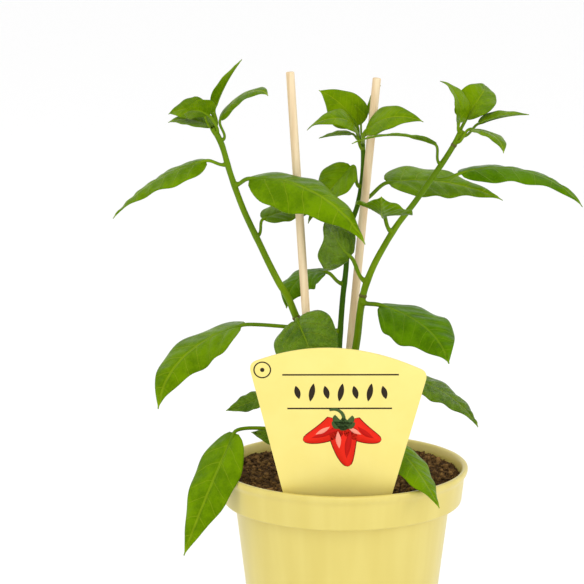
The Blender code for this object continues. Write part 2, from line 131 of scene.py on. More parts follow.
LEAVES = {
    "leaf_left_tip_upright": Leaf("left_stem", 269, (9, 60, 80), (26, 9), (0, 72), (24, 48), (28, 18), 28),
    "leaf_left_tip_right": Leaf(
        "left_stem", 263, (10, -85, 80), (36, 12), (22, 66), (-80, -20), (-5, -40), -10,
    ),
    "leaf_left_tip_front": Leaf(
        "left_stem", 267, (9.5, -135, 62), (18, 15), (224, 36), (232, -23), (-28, -65), 3,
    ),
    "leaf_left_tip_back": Leaf(
        "left_stem", 267, (13, 125, 52), (19, 14), (180, 6), (150, -26), (35, 45), 3,
    ),
    "leaf_left_tip_low": Leaf("left_stem", 261, (10, 135, 50), (24, 13), (165, 28), (145, -24), (12, 30), 5),
    "leaf_left_tip_bud": Leaf("left_stem", 269, (7, 170, 55), (10, 4), (130, 62), (174, 55), (0, 0), 30),
    "leaf_left_outer": Leaf("left_stem", 252, (10, 178, 8), (52, 20), (184, -11), (193, -51), (21, -6), -13),
    "leaf_left_inner": Leaf(
        "left_stem", 242, (10, -40, 23), (67, 29), (-14, 6), (-32, -57), (-25, -22), -18,
    ),
    "leaf_left_rear": Leaf("left_stem", 217, (9, 43, 60), (30, 16), (29, 22), (29, -21), (-18, -18), 0),
    "leaf_left_heart": Leaf(
        "left_stem", 173, (14, -95, 22), (45, 31), (-78, -18), (-35, -90), (-36, -50), 9,
    ),
    "leaf_middle_low": Leaf("middle_stem", 191, (10, 180, 33), (30, 24), (166, 8), (246, -84), (7, 13), -7),
    "leaf_middle_left": Leaf(
        "middle_stem", 238, (12, -132, 55), (34, 21), (203, -38), (190, -62), (30, 10), 10,
    ),
    "leaf_middle_right": Leaf("middle_stem", 231, (17, 23, 27), (60, 26), (30, 4), (-3, -25), (-24, -27), 0),
    "leaf_middle_long_stalk": Leaf(
        "middle_stem", 168, (47, 182, 4), (63, 27), (155, -18), (262, -56), (20, 17), -10,
    ),
    "leaf_middle_tip_back": Leaf(
        "middle_stem", 260, (7, 140, 62), (26, 20), (152, 60), (160, 18), (44, 47), 0,
    ),
    "leaf_middle_tip_left": Leaf(
        "middle_stem", 256, (10, -118, 52), (33, 14), (251, 57), (156, -47), (55, 10), 0,
    ),
    "leaf_middle_tip_under": Leaf(
        "middle_stem", 260, (6, -165, 30), (16, 8), (194, 4), (184, -16), (10, 0), 10,
    ),
    "leaf_middle_tip_right": Leaf(
        "middle_stem", 259, (18, -86, 25), (31, 17), (-40, 45), (-5, -24), (-44, -35), 0,
    ),
    "leaf_middle_tip_up": Leaf("middle_stem", 262, (8, 20, 56), (19, 9), (20, 108), (50, 30), (20, 14), 0),
    "leaf_middle_tip_bud": Leaf("middle_stem", 262, (7, -110, 72), (9, 5), (254, 69), (175, 65), (0, 0), 30),
    "leaf_right_cross": Leaf(
        "right_stem", 251, (12, -125, 58), (42, 13), (207, 27), (187, -22), (-8, -10), 5,
    ),
    "leaf_right_outer": Leaf("right_stem", 245, (13, -2, 8), (66, 20), (28, 13), (-55, -39), (-19, 0), -15),
    "leaf_right_fork": Leaf("right_stem", 219, (11, -127, 51), (33, 27), (-98, 1), (-91, 50), (13, 3), 20),
    "leaf_right_centre": Leaf(
        "right_stem", 195, (14, 157, 53), (31, 28), (210, 40), (205, 91), (90, 2), -11,
    ),
    "leaf_right_low": Leaf(
        "right_stem", 185, (11, -40, 0), (50, 33), (-13, -12), (-77, -40), (-8, -26), -10,
    ),
    "leaf_right_tip_fold": Leaf(
        "right_stem", 266, (6, -110, 55), (24, 15), (146, 108), (151, 15), (-4, -6), 11,
    ),
    "leaf_right_tip_round": Leaf(
        "right_stem", 266, (7, 55, 53), (28, 19), (30, 58), (90, 2), (-12, -38), 12,
    ),
    "leaf_right_tip_thin": Leaf("right_stem", 265, (10, -7, 31), (24, 11), (-10, 24), (2, -2), (-14, 4), 19),
    "leaf_right_tip_low": Leaf(
        "right_stem", 262, (10, -34, 38), (26, 13), (-18, 0), (-90, -40), (0, 20), -5,
    ),
    "leaf_right_tip_bud": Leaf("right_stem", 267, (7, 150, 72), (10, 4), (80, 62), (20, 45), (0, 0), 30),
    "leaf_rear_left": Leaf("trunk", 124, (40, 196, 25), (20, 12), (192, -27), (195, -11), (20, 40), 5),
    "leaf_rear_right": Leaf("trunk", 126, (40, 3, 31), (42, 20), (13, -18), (-50, -46), (-27, 8), -5),
    "leaf_hanging_left": Leaf("trunk", 121, (55, 206, 5), (62, 24), (220, -58), (203, -69), (6, 53), -3),
    "leaf_hanging_right": Leaf("trunk", 117, (41, -52, 9), (43, 20), (-50, -25), (-60, -42), (-5, 13), -12),
    "leaf_low_left": Leaf("trunk", 117, (21, 166, 7), (22, 14), (176, -19), (165, 12), (35, 45), 3),
}

DEEP = ("leaf_right_low", "leaf_right_outer", "leaf_middle_low")  # leaves of a deeper green
DARK = (  # leaves in the shade: a darker green as painted shade, glossier and more puckered
    "leaf_right_centre", "leaf_left_heart", "leaf_rear_left", "leaf_low_left", "leaf_rear_right",
)
BLADE_RISE_POWER = 0.55  # how a blade widens from its base
BLADE_TAPER_POWER = 1.2  # how it narrows towards its tip
BLADE_ROWS = 36
BLADE_COLUMNS = 20
BLADE_THICKNESS = 0.35
BLADE_BASE_HALF = 0.12  # the least half-width of a blade
BROAD_BLADE = 28  # the width from which the puckers have their full height
QUILT = 0.8  # height of the puckers between the side veins
DARK_QUILT = 1.3
YOUNG_QUILT = 0.2
RIPPLE = 0.035  # waves of the edge, as a share of the width
YOUNG_RIPPLE = 0.018
DROOP = 0.07  # how far the edge hangs, as a share of the half-width
YOUNG_DROOP = 0.03
VEIN_PAIRS = 7
VEIN_SLOPE = 0.55
VEIN_CURVE = 1.1
SPINE_STEPS = 72
STALK_BEND = 6
STALK_SHARE = 0.42  # the part of a stalk piece that lies before the blade
ROOT_SHARE = 0.06  # the part of it that lies inside the stem
RIB_END = 0.93  # where the rib under the blade ends, as a share of the blade
STEM_END = 0.02  # the part of a stem that rounds off each of its ends
JOINT_SWELLING = 0.16
JOINT_LENGTH = 2.2
NODES = {"left_stem": (177,), "right_stem": (188, 260)}  # heights of the brown rings
NODE_LENGTH = 1.8

SOIL_DIP = 1.0  # how far the mean level of the soil lies under the top of its CAD node
SOIL_BUMPS = (  # width and height of the bumps, and a shift that sets each layer apart
    (14, 1.1, (0, 0, 0)),
    (5, 0.9, (7, 3, 1)),
    (2.1, 0.7, (1, 9, 4)),
    (0.9, 0.35, (5, 5, 2)),
)
SOIL_MOUND = 2.2  # height of the heap round the trunk
SOIL_MOUND_WIDTH = 9
SOIL_TOP_SHARE = 0.8  # the part of the soil's rows that lies on its top
LABEL_CLEARANCE = 1.6
TRUNK_CLEARANCE = 5
STAKE_CLEARANCE = 3
CRUMBS = 3600
CRUMB_REACH = 55.2  # the greatest distance from the pot's axis to a crumb's middle
CRUMB_EDGE = 55.6  # the same to its skin
CRUMB_SMALLEST = 0.3
CRUMB_SPREAD = 1.25
CRUMB_FINE_FROM = 0.8  # the size from which a crumb has a finer mesh
FIBRES = 420
FIBRE_REACH = 50

FLOOR_RADIUS = 12000
LIGHT_TARGET = (0, 0, 0.15)  # metres
LAMPS = (  # name, place and width in metres, power in watts
    ("window light", (-0.9, -0.9, 1.3), 0.7, 4),
    ("side light", (1.2, -0.6, 0.7), 0.6, 3),
    ("front light", (0.2, -1.7, 0.55), 0.8, 4),
)
CAMERA_PLACE = (-0.02407, -1.25745, 0.43489)  # metres
CAMERA_TILT = 78.93
CAMERA_LENS = 167.14
CAMERA_SENSOR = 36


# ---------------------------------------------------------------- shaping helpers

def direction(heading, rise):
    """The unit vector with a heading and a rise in degrees."""
    heading = math.radians(heading)
    rise = math.radians(rise)
    return Vector((
        math.cos(rise) * math.cos(heading),
        math.cos(rise) * math.sin(heading),
        math.sin(rise),
    ))


def smooth(low, high, value):
    """0 below low, 1 above high and an even bend between them."""
    share = min(max((value - low) / (high - low), 0), 1)
    return share * share * (3 - 2 * share)


def add_grid(shape, columns, rows, place, flat_place=None, weld=True):
    """Adds a sheet of faces whose corners are set by place(across, along), both running from 0 to 1."""
    made = bmesh.ops.create_grid(shape, x_segments=columns, y_segments=rows, size=0.5)
    spots = {corner: (corner.co.x + 0.5, corner.co.y + 0.5) for corner in made["verts"]}
    layer = shape.loops.layers.uv.verify()
    faces = {face for corner in made["verts"] for face in corner.link_faces}
    for face in faces:
        for loop in face.loops:
            across, along = spots[loop.vert]
            loop[layer].uv = flat_place(across, along) if flat_place else (across, along)
    for corner, (across, along) in spots.items():
        corner.co = place(across, along)
    if weld:
        bmesh.ops.remove_doubles(shape, verts=made["verts"], dist=0.0005)


def add_tube(shape, columns, rows, spine, radius):
    """Adds a closed round tube. spine(along) gives middle and direction, radius(along, angle) the skin."""

    def place(across, along):
        centre, heading = spine(along)
        side = heading.cross(Vector((0.13, 1, 0.07))).normalized()
        other = heading.cross(side)
        angle = math.tau * across
        reach = radius(along, angle)
        return centre + (side * math.cos(angle) + other * math.sin(angle)) * reach

    add_grid(shape, columns, rows, place)


def finished(name, shape, materials, node=None, slot=None, sharp=40, thickness=0):
    """Turns a bmesh in millimetres into a named piece in metres, which may stand for a CAD node."""
    bmesh.ops.recalc_face_normals(shape, faces=shape.faces)
    bmesh.ops.scale(shape, vec=(MM, MM, MM), verts=shape.verts)
    mesh = bpy.data.meshes.new(name)
    shape.to_mesh(mesh)
    shape.free()
    mesh.shade_smooth()
    mesh.set_sharp_from_angle(angle=math.radians(sharp))
    for made in materials:
        mesh.materials.append(made)
    piece = bpy.data.objects.new(name, mesh)
    bpy.context.scene.collection.objects.link(piece)
    if thickness:
        solid = piece.modifiers.new("thickness", "SOLIDIFY")
        solid.thickness = thickness * MM
        solid.offset = 0
    if slot:
        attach(piece, ROOT)
    if node:
        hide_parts(node)
    return piece


# ---------------------------------------------------------------- materials

def shader_of(name, colour, roughness, shine):
    """A new material and its shader node."""
    made = bpy.data.materials.new(name)
    made.use_nodes = True
    shader = made.node_tree.nodes["Principled BSDF"]
    shader.inputs["Base Color"].default_value = (*colour, 1)
    shader.inputs["Roughness"].default_value = roughness
    shader.inputs["Specular IOR Level"].default_value = shine
    return made, shader


class Wiring:
    """Short ways to add and join shader nodes."""

    def __init__(self, made):
        self.tree = made.node_tree
        self.shader = self.tree.nodes["Principled BSDF"]

    def node(self, kind, values=None, **settings):
        """A new node with its inputs set or joined."""
        made = self.tree.nodes.new(kind)
        for key, value in settings.items():
            setattr(made, key, value)
        for key, value in (values or {}).items():
            if isinstance(value, bpy.types.NodeSocket):
                self.tree.links.new(value, made.inputs[key])
            else:
                made.inputs[key].default_value = value
        return made

    def math(self, operation, first, second=0.0, third=None):
        """The result of a sum on numbers or sockets."""
        values = {0: first, 1: second}
        if third is not None:
            values[2] = third
        return self.node("ShaderNodeMath", values, operation=operation).outputs[0]

    def step(self, value, low, high, out_low=0.0, out_high=1.0):
        """value mapped smoothly from low..high to out_low..out_high."""
        values = {"Value": value, "From Min": low, "From Max": high, "To Min": out_low, "To Max": out_high}
        return self.node("ShaderNodeMapRange", values, interpolation_type="SMOOTHSTEP").outputs["Result"]

    def mix(self, share, first, second):
        """A blend of two colours."""
        made = self.tree.nodes.new("ShaderNodeMix")
        made.data_type = "RGBA"
        for socket, value in ((made.inputs[0], share), (made.inputs[6], first), (made.inputs[7], second)):
            if isinstance(value, bpy.types.NodeSocket):
                self.tree.links.new(value, socket)
            elif isinstance(value, tuple):
                socket.default_value = (*value, 1)
            else:
                socket.default_value = value
        return made.outputs[2]

    def noise(self, scale, detail=3.0, stretch=(1, 1, 1), rough=0.55):
        """Noise laid out in the object's own space."""
        where = self.node("ShaderNodeTexCoord").outputs["Object"]
        mapped = self.node("ShaderNodeMapping", {"Vector": where, "Scale": stretch}).outputs[0]
        values = {"Vector": mapped, "Scale": scale, "Detail": detail, "Roughness": rough}
        return self.node("ShaderNodeTexNoise", values).outputs["Fac"]

    def bump(self, height, strength, distance):
        """Relief of the surface."""
        values = {"Height": height, "Strength": strength, "Distance": distance}
        made = self.node("ShaderNodeBump", values)
        self.tree.links.new(made.outputs[0], self.shader.inputs["Normal"])

    def feed(self, socket, value):
        """Joins a value to an input of the shader."""
        self.tree.links.new(value, self.shader.inputs[socket])


def leaf_material(name, blade, deep, vein, roughness, shine, folds=0.4, tint=(0.75, 0.9, 0.12)):
    """Mottled green with a midrib, curved side veins, a fine network and puckers folds mm deep.

    The blade's flat coordinates give the distance from the midrib and the share of the length.
    """
    made, shader = shader_of(name, blade, roughness, shine)
    shader.inputs["Specular Tint"].default_value = (*tint, 1)
    wiring = Wiring(made)
    place = wiring.node("ShaderNodeUVMap").outputs[0]
    split = wiring.node("ShaderNodeSeparateXYZ", {0: place})
    across = wiring.math("ABSOLUTE", split.outputs[0])
    along = split.outputs[1]
    bent = wiring.math("MULTIPLY_ADD", across, VEIN_CURVE, VEIN_SLOPE)
    slanted = wiring.math("SUBTRACT", along, wiring.math("MULTIPLY", bent, across))
    phase = wiring.math("MULTIPLY", slanted, VEIN_PAIRS)
    wobble = wiring.math("MULTIPLY_ADD", wiring.noise(90, 2), 0.5, phase)
    away = wiring.math("PINGPONG", wobble, 0.5)
    side_veins = wiring.step(away, 0.008, 0.05, 0.95, 0.0)
    rib = wiring.step(across, 0.006, 0.014, 1.0, 0.0)
    network = wiring.node(
        "ShaderNodeTexVoronoi", {"Vector": place, "Scale": 38.0}, feature="DISTANCE_TO_EDGE",
    ).outputs["Distance"]
    fine_veins = wiring.step(network, 0.02, 0.14, 0.16, 0.0)
    veins = wiring.math("MAXIMUM", wiring.math("MAXIMUM", side_veins, rib), fine_veins)
    tone = wiring.step(wiring.noise(75, 5, rough=0.7), 0.36, 0.62)
    base = wiring.mix(tone, deep, blade)
    wiring.feed("Base Color", wiring.mix(wiring.math("MULTIPLY", veins, 0.5), base, vein))
    dull = wiring.step(wiring.noise(240, 2), 0.3, 0.7, roughness - 0.05, roughness + 0.08)
    wiring.feed("Roughness", dull)
    small_puckers = wiring.noise(420, 3)
    broad_puckers = wiring.math("MULTIPLY", wiring.noise(150, 2), 2.0)
    puckers = wiring.math("ADD", small_puckers, broad_puckers)
    wiring.bump(wiring.math("SUBTRACT", puckers, veins), 0.6, folds * MM)
    return made


def grainy(name, light, dark, roughness, scale, stretch, strength, distance, detail=4.0, shine=0.5):
    """A material mottled between two colours by stretched noise, with matching relief."""
    made, _ = shader_of(name, light, roughness, shine)
    wiring = Wiring(made)
    tone = wiring.noise(scale, detail, stretch)
    wiring.feed("Base Color", wiring.mix(wiring.step(tone, 0.3, 0.7), dark, light))
    if strength:
        wiring.bump(tone, strength, distance)
    return made


LEAF_MATURE = leaf_material(
    "mature leaf", blade=(0.130, 0.245, 0.0), deep=(0.078, 0.165, 0.0), vein=(0.25, 0.35, 0.01),
    roughness=0.34, shine=0.12,
)
LEAF_DEEP = leaf_material(
    "deep green leaf", blade=(0.085, 0.200, 0.0), deep=(0.050, 0.130, 0.0), vein=(0.18, 0.29, 0.01),
    roughness=0.34, shine=0.12,
)
LEAF_YOUNG = leaf_material(
    "young leaf", blade=(0.145, 0.255, 0.0), deep=(0.080, 0.170, 0.0), vein=(0.30, 0.40, 0.01),
    roughness=0.32, shine=0.10,
)
# painted shade: a darker green for the leaves in DARK, which lie in the shade
LEAF_PAINTED_SHADE = leaf_material(
    "leaf with painted shade", blade=(0.105, 0.205, 0.001), deep=(0.040, 0.105, 0.0), vein=(0.24, 0.34, 0.02),
    roughness=0.22, shine=0.35, folds=1.5, tint=(0.9, 1, 0.4),
)
STEM_GREEN = grainy(
    "stem green", light=(0.165, 0.275, 0.0), dark=(0.085, 0.170, 0.0), roughness=0.40,
    scale=70, stretch=(1, 1, 0.15), strength=0.15, distance=0.0002, shine=0.1,
)
STEM_DEEP = grainy(
    "deep stem green", light=(0.080, 0.175, 0.0), dark=(0.035, 0.105, 0.0), roughness=0.40,
    scale=70, stretch=(1, 1, 0.15), strength=0.15, distance=0.0002, shine=0.1,
)
NODE_BROWN = grainy(
    "stem node", light=(0.13, 0.135, 0.012), dark=(0.06, 0.052, 0.010), roughness=0.6,
    scale=300, stretch=(1, 1, 1), strength=0.3, distance=0.0002, shine=0.2,
)
POT_PLASTIC = grainy(
    "pot plastic", light=(0.67, 0.56, 0.150), dark=(0.635, 0.52, 0.125), roughness=0.34,
    scale=90, stretch=(1, 1, 0.03), strength=0.08, distance=0.0002, detail=2,
)
LABEL_PLASTIC = grainy(
    "label plastic", light=(0.81, 0.685, 0.20), dark=(0.79, 0.66, 0.18), roughness=0.42,
    scale=60, stretch=(1, 1, 1), strength=0.0, distance=0.0, detail=3, shine=0.4,
)
STAKE_WOOD = grainy(
    "stake wood", light=(0.82, 0.67, 0.44), dark=(0.68, 0.50, 0.29), roughness=0.7,
    scale=420, stretch=(1, 1, 0.03), strength=0.3, distance=0.0002, shine=0.3,
)
SOIL_BROWN = grainy(
    "potting soil", light=(0.10, 0.050, 0.014), dark=(0.018, 0.008, 0.003), roughness=0.95,
    scale=500, stretch=(1, 1, 1), strength=0.8, distance=0.0006, detail=6, shine=0.1,
)
CRUMB_BROWN = grainy(
    "soil crumb", light=(0.27, 0.150, 0.048), dark=(0.022, 0.010, 0.004), roughness=0.95,
    scale=260, stretch=(1, 1, 1), strength=0.6, distance=0.0004, detail=6, shine=0.1,
)
FIBRE_TAN = grainy(
    "soil fibre", light=(0.22, 0.12, 0.045), dark=(0.05, 0.026, 0.010), roughness=0.9,
    scale=300, stretch=(1, 1, 1), strength=0.3, distance=0.0002, shine=0.1,
)


# ---------------------------------------------------------------- pot, soil, stakes

def body_radius(height):
    """The outer radius of the pot's body at a height."""
    return BASE_RADIUS + (BODY_TOP_RADIUS - BASE_RADIUS) * height / BAND_BOTTOM


def inner_profile(offset):
    """The inside of the pot from the middle of its floor to its mouth, moved inwards by offset."""
    low_floor = WALL + offset
    high_floor = GROOVE_HEIGHT + WALL + offset
    inside = WALL + offset
    ledge = BAND_BOTTOM + WALL + offset
    return [
        (0, low_floor),
        (HUB_RADIUS - inside - 0.5, low_floor),
        (HUB_RADIUS - inside + 0.5, high_floor),
        (body_radius(high_floor) - inside, high_floor),
        (body_radius(ledge - 3) - inside, ledge - 3),
        (body_radius(ledge) - inside + 1, ledge),
        (BAND_BOTTOM_RADIUS - inside, ledge + 1),
        (BAND_TOP_RADIUS - inside, POT_HEIGHT - 3),
    ]


def turned(profile, steps):
    """A body of revolution about Z from (radius, height) points."""
    shape = bmesh.new()
    points = [shape.verts.new((radius, 0, height)) for radius, height in profile]
    edges = [shape.edges.new(pair) for pair in zip(points, points[1:])]
    bmesh.ops.spin(
        shape, geom=points + edges, cent=(0, 0, 0), axis=(0, 0, 1), angle=math.tau, steps=steps,
        use_merge=True,
    )
    bmesh.ops.remove_doubles(shape, verts=shape.verts, dist=0.001)
    return shape


def rounded(corner_radius, points):
    """The points with each inner corner rounded by a few short steps."""
    out = [points[0]]
    for before, corner, after in zip(points, points[1:], points[2:]):
        here = Vector(corner)
        back = Vector(before) - here
        ahead = Vector(after) - here
        reach = min(corner_radius, back.length * 0.45, ahead.length * 0.45)
        start = here + back.normalized() * reach
        end = here + ahead.normalized() * reach
        for share in (0, 0.33, 0.67, 1):
            rest = 1 - share
            out.append(tuple(start * rest**2 + here * 2 * share * rest + end * share**2))
    out.append(points[-1])
    return out


def make_pot():
    """The moulded pot: one turned wall with a deep band, a lip, a foot ring and drain holes."""
    outside = [
        (0, 0),
        (HUB_RADIUS - 1, 0),
        (HUB_RADIUS, GROOVE_HEIGHT),
        (FOOT_INNER_RADIUS, GROOVE_HEIGHT),
        (FOOT_INNER_RADIUS + 1, 0),
        (BASE_RADIUS, 0),
        (BODY_TOP_RADIUS, BAND_BOTTOM - 0.5),
        (BAND_BOTTOM_RADIUS, BAND_BOTTOM),
        (BAND_TOP_RADIUS, POT_HEIGHT - 4.6),
        (RIM_RADIUS, POT_HEIGHT - 2.4),
        (RIM_RADIUS, POT_HEIGHT),
        (RIM_RADIUS - WALL - 0.6, POT_HEIGHT),
        (BAND_TOP_RADIUS - WALL, POT_HEIGHT - 3),
    ]
    profile = rounded(POT_ROUNDING, outside + inner_profile(0)[-2::-1])
    pot = finished("pot", turned(profile, POT_STEPS), [POT_PLASTIC], "pot", "pot", sharp=50)
    holes = bmesh.new()
    ring = (HUB_RADIUS + FOOT_INNER_RADIUS) / 2
    for index in range(DRAIN_HOLES):
        made = bmesh.ops.create_cone(
            holes, cap_ends=True, segments=32, radius1=DRAIN_HOLE_RADIUS, radius2=DRAIN_HOLE_RADIUS,
            depth=DRAIN_CUT_DEPTH,
        )
        centre = direction(index * 360 / DRAIN_HOLES, 0) * ring
        centre.z = GROOVE_HEIGHT
        bmesh.ops.translate(holes, vec=centre, verts=made["verts"])
    cutter = finished("drain_hole_cutter", holes, [POT_PLASTIC])
    boolean = pot.modifiers.new("drain holes", "BOOLEAN")
    boolean.operation = "DIFFERENCE"
    boolean.solver = "EXACT"
    boolean.object = cutter
    with bpy.context.temp_override(object=pot, active_object=pot):
        bpy.ops.object.modifier_apply(modifier=boolean.name)
    bpy.data.objects.remove(cutter, do_unlink=True)


def soil_height(x, y):
    """The uneven top of the soil."""
    where = Vector((x, y, 0))
    level = SOIL_LEVEL - SOIL_DIP
    for width, height, shift in SOIL_BUMPS:
        level += height * noise.noise(where / width + Vector(shift))
    return level + SOIL_MOUND * math.exp(-(math.hypot(x, y) / SOIL_MOUND_WIDTH) ** 2)


def make_soil():
    """The soil: an uneven top, and sides that follow the inside of the pot."""
    wall = inner_profile(GAP)[::-1]
    edge = wall[0][0] + 0.2

    def place(across, along):
        angle = math.tau * across
        if along < SOIL_TOP_SHARE:
            reach = edge * along / SOIL_TOP_SHARE
            x = reach * math.cos(angle)
            y = reach * math.sin(angle)
            return (x, y, soil_height(x, y))
        spot = (along - SOIL_TOP_SHARE) / (1 - SOIL_TOP_SHARE) * (len(wall) - 1)
        first = min(int(spot), len(wall) - 2)
        share = spot - first
        reach = wall[first][0] * (1 - share) + wall[first + 1][0] * share
        height = wall[first][1] * (1 - share) + wall[first + 1][1] * share
        return (reach * math.cos(angle), reach * math.sin(angle), min(height, SOIL_LEVEL - 2.5))

    shape = bmesh.new()
    add_grid(shape, 220, 140, place)
    finished("potting_soil", shape, [SOIL_BROWN], "soil", "soil", sharp=80)


def clear_of_pieces(x, y):
    """Whether a crumb at this place is clear of the label, the stakes and the trunk."""
    label_x, label_y = LABEL_AT_SOIL
    if abs(y - label_y) < LABEL_CLEARANCE and abs(x - label_x) < LABEL_SOIL_WIDTH / 2 + 2:
        return False
    trunk_x, trunk_y, _ = STEMS["trunk"].points[0]
    if math.hypot(x - trunk_x, y - trunk_y) < TRUNK_CLEARANCE:
        return False
    for foot, top in STAKES.values():
        share = (SOIL_LEVEL - foot[2]) / (top[2] - foot[2])
        across = x - foot[0] - (top[0] - foot[0]) * share
        ahead = y - foot[1] - (top[1] - foot[1]) * share
        if math.hypot(across, ahead) < STAKE_CLEARANCE:
            return False
    return True


def joined(things):
    """Joins many small objects into the first of them."""
    with bpy.context.temp_override(
        active_object=things[0], object=things[0], selected_objects=things, selected_editable_objects=things,
    ):
        bpy.ops.object.join()
    return things[0]


def lump_mesh(number, chance, fine):
    """One irregular crumb about 1 mm in radius."""
    shape = bmesh.new()
    bmesh.ops.create_icosphere(shape, subdivisions=2 if fine else 1, radius=1)
    offset = Vector((chance.uniform(0, 50), chance.uniform(0, 50), 0))
    for corner in shape.verts:
        corner.co *= 1 + 0.55 * noise.noise(corner.co * 1.3 + offset)
        corner.co.z *= 0.75
    mesh = bpy.data.meshes.new(f"crumb_{number}")
    shape.to_mesh(mesh)
    shape.free()
    mesh.materials.append(CRUMB_BROWN)
    return mesh


def place_crumb(mesh, spot, size, chance):
    """Lays one crumb of a size at a spot, turned by chance."""
    thing = bpy.data.objects.new("crumb", mesh)
    bpy.context.scene.collection.objects.link(thing)
    turn = Matrix.Rotation(chance.uniform(0, math.tau), 4, "Z")
    tilt = Matrix.Rotation(chance.uniform(-1, 1), 4, "X")
    thing.matrix_world = Matrix.Translation(spot * MM) @ (turn @ tilt) @ Matrix.Scale(size * MM, 4)
    return thing


def make_crumbs():
    """Loose crumbs on the soil, joined into one piece."""
    chance = random.Random(4)
    small = [lump_mesh(number, chance, False) for number in range(10)]
    large = [lump_mesh(number, chance, True) for number in range(10, 18)]
    crumbs = []
    for _ in range(CRUMBS):
        angle = chance.uniform(0, math.tau)
        reach = CRUMB_REACH * math.sqrt(chance.random())
        x = reach * math.cos(angle)
        y = reach * math.sin(angle)
        size = CRUMB_SMALLEST + CRUMB_SPREAD * chance.random() ** 4
        if not clear_of_pieces(x, y) or reach + size > CRUMB_EDGE:
            continue
        mesh = chance.choice(large if size > CRUMB_FINE_FROM else small)
        spot = Vector((x, y, soil_height(x, y) + size * 0.25))
        crumbs.append(place_crumb(mesh, spot, size, chance))
    crumbs[0].data = crumbs[0].data.copy()
    whole = joined(crumbs)
    whole.name = "soil_crumbs"
    whole.data.transform(whole.matrix_world)
    whole.matrix_world = Matrix.Identity(4)
    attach(whole, ROOT)


def make_fibres():
    """Short bent fibres lying on the soil."""
    chance = random.Random(9)
    shape = bmesh.new()
    for _ in range(FIBRES):
        angle = chance.uniform(0, math.tau)
        reach = FIBRE_REACH * math.sqrt(chance.random())
        centre = Vector((reach * math.cos(angle), reach * math.sin(angle), 0))
        if not clear_of_pieces(centre.x, centre.y):
            continue
        heading = chance.uniform(0, 360)
        length = chance.uniform(2, 8)
        bend = chance.uniform(-60, 60)
        thick = chance.uniform(0.08, 0.2)
        tilt = chance.uniform(-12, 12)
        ground = Vector((0, 0, soil_height(centre.x, centre.y) + 0.45))

        def spine(along):
            ahead = direction(heading + bend * (along - 0.5), tilt)
            return centre + ground + ahead * length * (along - 0.5), ahead

        add_tube(shape, 4, 5, spine, lambda along, angle: thick * (1.2 - along))
    finished("soil_fibres", shape, [FIBRE_TAN], None, "soil", sharp=80)


def make_stakes():
    """Two round wooden rods with softened ends."""
    for name, (foot, top) in STAKES.items():
        foot = Vector(foot)
        ahead = Vector(top) - foot
        length = ahead.length
        shape = bmesh.new()

        def spine(along):
            """Rings are packed close at both ends, to soften their edges."""
            ends = 0.45 / length
            marks = [0, 0, ends * 0.3, ends, *[ends + (1 - 2 * ends) * k / 12 for k in range(1, 12)]]
            marks += [1 - ends, 1 - ends * 0.3, 1, 1]
            return foot + ahead * marks[round(along * (len(marks) - 1))], ahead.normalized()

        def radius(along, angle):
            ring = round(along * STAKE_ROWS)
            inset = {0: 0.0, 1: STAKE_RADIUS - 0.45, 2: STAKE_RADIUS - 0.15}
            edge = min(ring, STAKE_ROWS - ring)
            rough = 0.03 * math.sin(angle * 3 + ring * 0.7)
            return inset.get(edge, STAKE_RADIUS - 0.04 + rough)

        add_tube(shape, 28, STAKE_ROWS, spine, radius)
        finished(name, shape, [STAKE_WOOD], name, "stake_wood", sharp=60)


# ---------------------------------------------------------------- label

def label_place(across, up, lift=0.0):
    """A place on the label: across and up from the soil line, and lifted off its front face."""
    spot = Vector((across, -LABEL_THICKNESS / 2 - lift, up))
    spot = Matrix.Rotation(math.radians(LABEL_LEAN), 3, "X") @ spot
    return spot + Vector((*LABEL_AT_SOIL, LABEL_FOOT_HEIGHT))


def label_outline():
    """The label's edge as (across, up) points: spike, shoulders, fan and crowned top."""
    half_top = LABEL_TOP_WIDTH / 2
    half_soil = LABEL_SOIL_WIDTH / 2
    half_spike = LABEL_SPIKE_WIDTH / 2
    reach = LABEL_HEAD_HEIGHT - LABEL_CROWN
    points = [
        (0, -LABEL_SPIKE_LENGTH),
        (half_spike, -LABEL_SPIKE_LENGTH + half_spike),
        (half_spike, -LABEL_SHOULDER - 6),
        (half_soil - 3, -LABEL_SHOULDER),
        (half_soil, 0),
    ]
    corner = Vector((half_top, reach))
    below = corner + Vector((half_soil - half_top, -reach)).normalized() * LABEL_CORNER
    beside = corner + Vector((-LABEL_CORNER, LABEL_CORNER * 0.3))
    for step in range(9):
        share = step / 8
        spot = below * (1 - share) ** 2 + corner * 2 * share * (1 - share) + beside * share**2
        points.append(tuple(spot))
    for step in range(1, 12):
        share = 1 - step / 12
        points.append((beside.x * share, LABEL_HEAD_HEIGHT - (LABEL_HEAD_HEIGHT - beside.y) * share**2))
    left = [(-across, up) for across, up in reversed(points[1:])]
    whole = points + [(0, LABEL_HEAD_HEIGHT)] + left
    slant = LABEL_SLANT / LABEL_HEAD_HEIGHT
    return [(across, up - slant * across * max(up, 0)) for across, up in whole]


def make_label():
    """The plain plate of the label, with softened edges."""
    shape = bmesh.new()
    corners = [shape.verts.new(label_place(across, up)) for across, up in label_outline()]
    face = shape.faces.new(corners)
    extruded = bmesh.ops.extrude_face_region(shape, geom=[face])
    moved = [item for item in extruded["geom"] if isinstance(item, bmesh.types.BMVert)]
    back = label_place(0, 0, -LABEL_THICKNESS) - label_place(0, 0)
    bmesh.ops.translate(shape, vec=back, verts=moved)
    bmesh.ops.recalc_face_normals(shape, faces=shape.faces)
    rims = [edge for edge in shape.edges if len(edge.link_faces) == 2 and edge.calc_face_angle(0) > 1.2]
    bmesh.ops.bevel(
        shape, geom=rims, offset=0.18, segments=2, affect="EDGES", profile=0.5, material=-1,
        clamp_overlap=True,
    )
    finished("plant_label", shape, [LABEL_PLASTIC], "label", "label", sharp=30)


